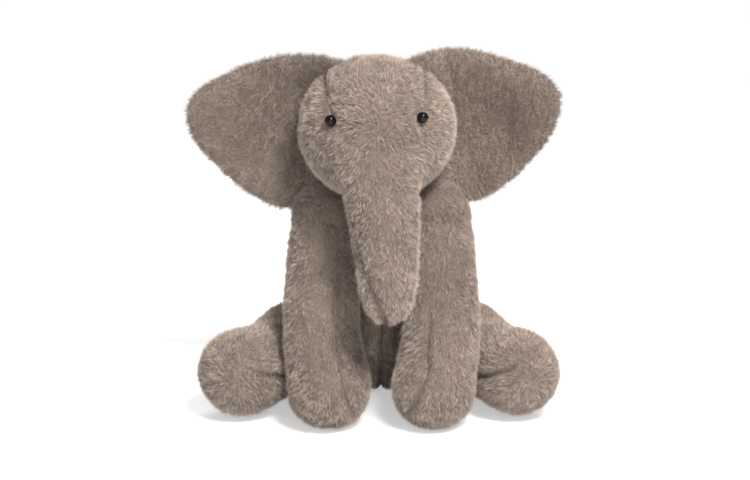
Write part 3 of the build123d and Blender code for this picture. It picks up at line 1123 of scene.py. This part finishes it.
def ear_dish(x, z):
    """How far forward the middle of the ear lies: deep beside the head, with its rim brought forward."""
    out = np.clip((x - 66) / 98, -0.3, 1.1)
    inner = np.clip((66 - x) / 20, 0, 1.5)
    forward = 34 * np.clip(out, 0, None) ** 1.6 + 17 * inner
    forward += 9 * ((z - 252) / 66) ** 2
    forward += 3.0 * np.sin((z - 200) / 17.0 + x / 40) * np.clip(out, 0, 1) ** 2
    return -40 - forward


def ear_mesh(name, size=1.0, thick=EAR_THICK):
    """A padded plate, front and back, round to its rim.  Front faces are numbered 1."""
    rim = smooth_loop(EAR_OUTLINE, EAR_AROUND)
    middle = np.array(EAR_MIDDLE)
    shares = np.sin(np.linspace(0, math.pi / 2, EAR_ACROSS + 1))[1:]
    rows = []
    for facing in (-1, 1):
        for share in shares if facing < 0 else shares[:-1][::-1]:
            flat = middle + (rim - middle) * share * size
            half = thick / 2 * math.sqrt(max(0.0, 1 - share**6)) if share < 1 else 0.0
            y = ear_dish(flat[:, 0], flat[:, 1]) + facing * half
            rows.append(np.stack([flat[:, 0], y, flat[:, 1]], 1))
    vertices = np.concatenate(rows)
    y = ear_dish(middle[0], middle[1])
    poles = [(middle[0], y - thick / 2, middle[1]), (middle[0], y + thick / 2, middle[1])]
    vertices = np.concatenate([vertices, poles])
    faces, front = [], []
    for row in range(len(rows) - 1):
        for index in range(EAR_AROUND):
            a = row * EAR_AROUND + index
            b = row * EAR_AROUND + (index + 1) % EAR_AROUND
            faces.append((a, b, b + EAR_AROUND, a + EAR_AROUND))
            front.append(row < EAR_ACROSS - 1)
    last = (len(rows) - 1) * EAR_AROUND
    for index in range(EAR_AROUND):
        after = (index + 1) % EAR_AROUND
        faces.append((len(vertices) - 2, after, index))
        front.append(True)
        faces.append((last + index, last + after, len(vertices) - 1))
        front.append(False)
    mesh = bpy.data.meshes.new(name)
    mesh.from_pydata((vertices * MM).tolist(), [], faces)
    store(mesh, "front", "INT", "FACE", np.array(front, np.int32))
    return add_object(name, mesh)


def keep_marked(piece, name, wanted):
    """A copy of a piece with only the faces that are marked front, or only the others."""
    mesh = piece.data.copy()
    marks = read(mesh.attributes["front"].data, "value")[:, 0]
    bm = bmesh.new()
    bm.from_mesh(mesh)
    bm.faces.ensure_lookup_table()
    doomed = [face for face, mark in zip(bm.faces, marks) if mark != wanted]
    bmesh.ops.delete(bm, geom=doomed, context="FACES")
    bm.to_mesh(mesh)
    bm.free()
    return add_object(name, mesh)


def place_ear(piece, side):
    """Put an ear plate on its side of the tilted head.  The left ear is a little smaller."""
    co = positions(piece.data)
    if side > 0:
        co[:, 0] = NARROW_FROM + (co[:, 0] - NARROW_FROM) * LEFT_EAR_WIDTH
    co[:, 0] *= side
    set_positions(piece.data, co)
    tilt_piece(piece)
    bm = bmesh.new()
    bm.from_mesh(piece.data)
    bmesh.ops.recalc_face_normals(bm, faces=bm.faces[:])
    bm.to_mesh(piece.data)
    bm.free()


def make_wadding(side, name):
    """The thin sheet of fibre between the two faces of an ear."""
    piece = ear_mesh("ear_wadding_soft_" + name, WADDING_SIZE, WADDING_THICK)
    place_ear(piece, side)
    dress_filling(piece, "ear_wadding_" + name, "ear_" + name, "filling")


def make_ear(side, name):
    skin = ear_mesh("ear_" + name)
    place_ear(skin, side)
    puff(skin, [])
    relax(skin.data, 2)
    subdivide(skin)
    ruffle(skin, 50 + side)
    root = PIVOT["ear_flap_" + name]

    def flow(places):
        out = unit(places - root)
        out[:, 2] -= 0.45
        return out

    for facing, mark in (("front", 1), ("back", 0)):
        panel = keep_marked(skin, "ear_" + facing + "_fur_" + name, mark)
        # the ear's coat carries its painted shade
        coat = Coat(60 + 2 * side + mark, flow, length=EAR_FUR, tone=EAR_PAINTED_SHADE[name])
        finish_panel(panel, coat, ["ear_" + facing + "_" + name], "ear_" + name)
    bpy.data.objects.remove(skin)


# ---- Legs ----
def make_leg(kind, name, parts, lumps, plane, seams, seed, flow):
    """A leg's skin in two panels.  The first part lies where the plane's normal points."""
    body = kind + "_" + name
    skin = blob(body, lumps, smoothing=12)
    sit_on_floor(skin)
    finish_skin(skin, seed, [plane], seams)
    remember(skin, body)
    panels = cut(skin, *plane, [kind + "_" + part + "_" + name for part in parts])
    for panel, part in zip(panels, parts):
        coat = Coat(seed + 10, flow, seams=seams)
        finish_panel(panel, coat, [kind + "_" + part + "_panel_" + name], body)


LEG_SEAM_HEIGHTS = (20, 35, 60, 95, 150)
LEG_SEAM_OFFSETS = (25, 31, 39, 41.5, 40)


def leg_seam_shows(side):
    """Down the front of a foreleg: clear in the middle of its run, lost in the fur at both ends."""

    def shows(places):
        z = places[:, 2] / MM
        front = between(places[:, 1] / MM, -78, -92)
        upper = between(z, 118, 98) if side > 0 else between(z, 150, 120)
        return front * upper * between(z, 16, 34) * (1.0 if side > 0 else 0.7)

    return shows


def make_foreleg(side, name):
    shoulder = PIVOT["foreleg_swing_" + name] / MM
    toe_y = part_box("foreleg_outer_panel_" + name)[0].y / MM + 41
    stations = [
        (50, shoulder[1] + 4, shoulder[2], 34.5),
        (53, -84, 114, 35),
        (53, -98, 82, 35.2),
        (49.5, -108, 58, 36.5),
    ]
    foot = ((side * 46, toe_y - 1, 37), inset((38.5, 42, 38)))
    heel = ((side * 46.5, toe_y + 1, 26), inset((37, 40, 29)))
    lumps = chain(stations, 12, side) + [foot, heel]
    middle = ((side * 40 * MM, 0, 0.1), (1, 0, side * 0.02))
    seam = line_seam(LEG_SEAM_HEIGHTS, LEG_SEAM_OFFSETS, side, leg_seam_shows(side), 2.0)

    def flow(places):
        out = np.tile((0.0, -0.15, -1.0), (len(places), 1))
        foot_share = np.clip((40 - places[:, 2] / MM) / 25, 0, 1)[:, None]
        spread = places - np.array((side * 46, toe_y, 40)) * MM
        return out * (1 - 0.6 * foot_share) + unit(spread) * foot_share

    parts = ("outer", "inner") if side > 0 else ("inner", "outer")
    make_leg("foreleg", name, parts, lumps, middle, [seam], 70 + side, flow)


HIND_SEAM_HEIGHT = 46.5
HIND_FEET = {           # the right foot is a little larger in the photo
    "left": ((121, -91, 41), inset((40.5, 40, 40.5))),
    "right": ((-124, -91, 41), inset((42, 40, 41.5))),
}


def sole_seam_shows(places):
    """The seam shows on the inner half of the sole only."""
    x = np.abs(places[:, 0]) / MM
    front = between(places[:, 1] / MM, -95, -108)
    return front * between(x, 84, 90) * between(x, 122, 112)


def make_hind_leg(side, name):
    hip = PIVOT["hind_leg_splay_" + name] / MM
    stations = [
        (abs(hip[0]) + 5, hip[1] - 2, 47, 43),
        (96, -52, 43, 38),
        (108, -70, 41, 37),
        (120, -88, 41.5, 40),
    ]
    lumps = chain(stations, 12, side) + [HIND_FEET[name]]
    level = (np.array((side * 100, -91, HIND_SEAM_HEIGHT)) * MM, (-side * 0.42, 0.0, 1.0))
    seam = plane_seam(*level, sole_seam_shows, 2.0)
    sole = np.array((side * 132, -128, 42)) * MM

    def flow(places):
        out = unit(places - sole)
        out[:, 2] -= 0.35
        return out

    make_leg("hind_leg", name, ("upper", "lower"), lumps, level, [seam], 90 + side, flow)


# ---- Tail ----
def make_tail():
    root = PIVOT["tail_swing"] / MM
    low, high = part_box("tail_panel_left")
    tip_y, tip_z = high.y / MM - 8, low.z / MM + 9
    stations = [
        (0, root[1], root[2], 12),
        (0, (root[1] + tip_y) / 2 + 2, (root[2] + tip_z) / 2, 10),
        (0, tip_y - 3, tip_z + 6, 11),
        (0, tip_y, tip_z, 10),
    ]
    skin = blob("tail", chain(stations, 14), step=1.6, smoothing=6)
    finish_skin(skin, 111)
    remember(skin, "tail")
    panels = cut(skin, (0, 0, 0), (1, 0, 0), ("tail_left", "tail_right"))
    for panel, (_, name) in zip(panels, SIDES):
        finish_panel(panel, Coat(113, length=6.0), ["tail_panel_" + name], "tail")


# ---- What is inside, and the small hard pieces ----
def dress_filling(piece, node, body, slot):
    dress(piece, SLOT_MATERIALS[slot])
    shade(piece)
    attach(piece, body)
    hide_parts(node)


FILLING_GAP = {"trunk_upper": 9.0, "trunk_tip": 6.0, "tail": 0.6}


def make_filling(node, body, slot):
    """A lumpy bag in place of a plain filling solid, kept inside its skin."""
    piece = add_object(node + "_soft", frame["nodes"][node].data.copy())
    small = body == "tail"
    remesh(piece, 1.6 if small else 3.2)
    relax(piece.data, 2)
    co = positions(piece.data)
    swell = (noise(co, 12 * MM, 7)[:, 0] - 0.8) * (0.25 if small else 0.9)
    co += vertex_normals(piece.data) * (swell * MM)[:, None]
    gap = (BACKING + FILLING_GAP.get(body, 2.0)) * MM
    set_positions(piece.data, keep_inside(co, INSIDE[body], gap))
    relax(piece.data, 1)
    dress_filling(piece, node, body, slot)


def make_fillings():
    for body, members in frame["record"]["behaviour"]["bodies"].items():
        for node in members:
            if "bean_bag" in node:
                make_filling(node, body, "bean_bag")
            elif "stuffing" in node and node != "neck_stuffing":
                make_filling(node, body, "filling")


def dress_hard_pieces():
    """Eyes, washers and the label keep their CAD shape and get their own materials."""
    slots = {entry["node"]: entry["material_slot"] for entry in frame["record"]["subparts"]}
    for node, piece in frame["nodes"].items():
        if slots[node] in ("eye", "washer", "label"):
            dress(piece, SLOT_MATERIALS[slots[node]])
            shade(piece, slots[node] == "eye")


# ---- Stage, lights and camera ----
FLOOR_RADIUS = 9.0
FLOOR_SIDES = 64


def make_stage():
    """A wide round floor of pale paper.  The air beyond its edge is as white as the paper."""
    around = np.linspace(0, 2 * math.pi, FLOOR_SIDES, endpoint=False)
    rim = [(FLOOR_RADIUS * math.cos(a), FLOOR_RADIUS * math.sin(a), 0) for a in around]
    mesh = bpy.data.meshes.new("studio_floor")
    mesh.from_pydata(rim, [], [range(FLOOR_SIDES)])
    floor = add_object("studio_floor", mesh)
    dress(floor, studio_paper())


LIGHT_AIM = (0, -0.08, 0.16)
LIGHTS = (                # name, place and size in metres, power in watts, colour
    ("key_above_right", (0.55, -1.20, 1.68), 0.6, 41.0, (1.0, 0.985, 0.96)),
    ("fill_front", (0.1, -1.9, 0.6), 1.0, 7.5, (0.98, 0.99, 1.0)),
    ("rim_behind", (0.2, 1.2, 1.3), 1.0, 12.0, (1, 1, 1)),
)


def area_light(name, place, size, power, colour):
    data = bpy.data.lights.new(name, "AREA")
    data.shape = "DISK"
    data.size = size
    data.energy = power
    data.color = colour
    lamp = add_object(name, data)
    lamp.location = place
    lamp.rotation_mode = "QUATERNION"
    lamp.rotation_quaternion = (Vector(LIGHT_AIM) - Vector(place)).to_track_quat("-Z", "Y")


AIR_LIGHT = 0.23          # light from all round, as the toy receives it; the camera sees plain white


def make_lights():
    for light in LIGHTS:
        area_light(*light)
    world = bpy.data.worlds.new("studio")
    world.use_nodes = True
    tree = world.node_tree
    air = tree.nodes["Background"]
    air.inputs["Color"].default_value = (1, 1, 1, 1)
    seen = tree.nodes.new("ShaderNodeLightPath")
    strength = tree.nodes.new("ShaderNodeMapRange")
    strength.inputs["To Min"].default_value = AIR_LIGHT
    strength.inputs["To Max"].default_value = 1.0
    tree.links.new(seen.outputs["Is Camera Ray"], strength.inputs["Value"])
    tree.links.new(strength.outputs["Result"], air.inputs["Strength"])
    bpy.context.scene.world = world


CAMERA_ELEVATION = 13.0   # degrees
CAMERA_DISTANCE = 1.40
CAMERA_LENS = 75.9
CAMERA_ASIDE = -0.0057    # metres, as the photo's camera stands a little to one side


def make_camera():
    low, high = (Vector(corner) for corner in CAD_BOX)
    aim = Vector((0.0, -0.081, (low.z + high.z) / 2 - 0.004))
    tilt_down = math.radians(CAMERA_ELEVATION)
    back = Vector((0, -math.cos(tilt_down), math.sin(tilt_down)))
    data = bpy.data.cameras.new("camera")
    data.lens = CAMERA_LENS
    data.sensor_width = 36.0
    camera = add_object("camera", data)
    camera.location = aim + back * CAMERA_DISTANCE + Vector((CAMERA_ASIDE, 0, 0))
    camera.rotation_mode = "QUATERNION"
    camera.rotation_quaternion = (-back).to_track_quat("-Z", "Y")
    bpy.context.scene.camera = camera


# ---- Everything ----
bpy.context.scene.view_settings.view_transform = "Standard"
make_torso()
make_head()
for toy_side, side_name in SIDES:
    make_ear(toy_side, side_name)
    make_wadding(toy_side, side_name)
    make_foreleg(toy_side, side_name)
    make_hind_leg(toy_side, side_name)
make_tail()
make_fillings()
dress_hard_pieces()
make_stage()
make_lights()
make_camera()
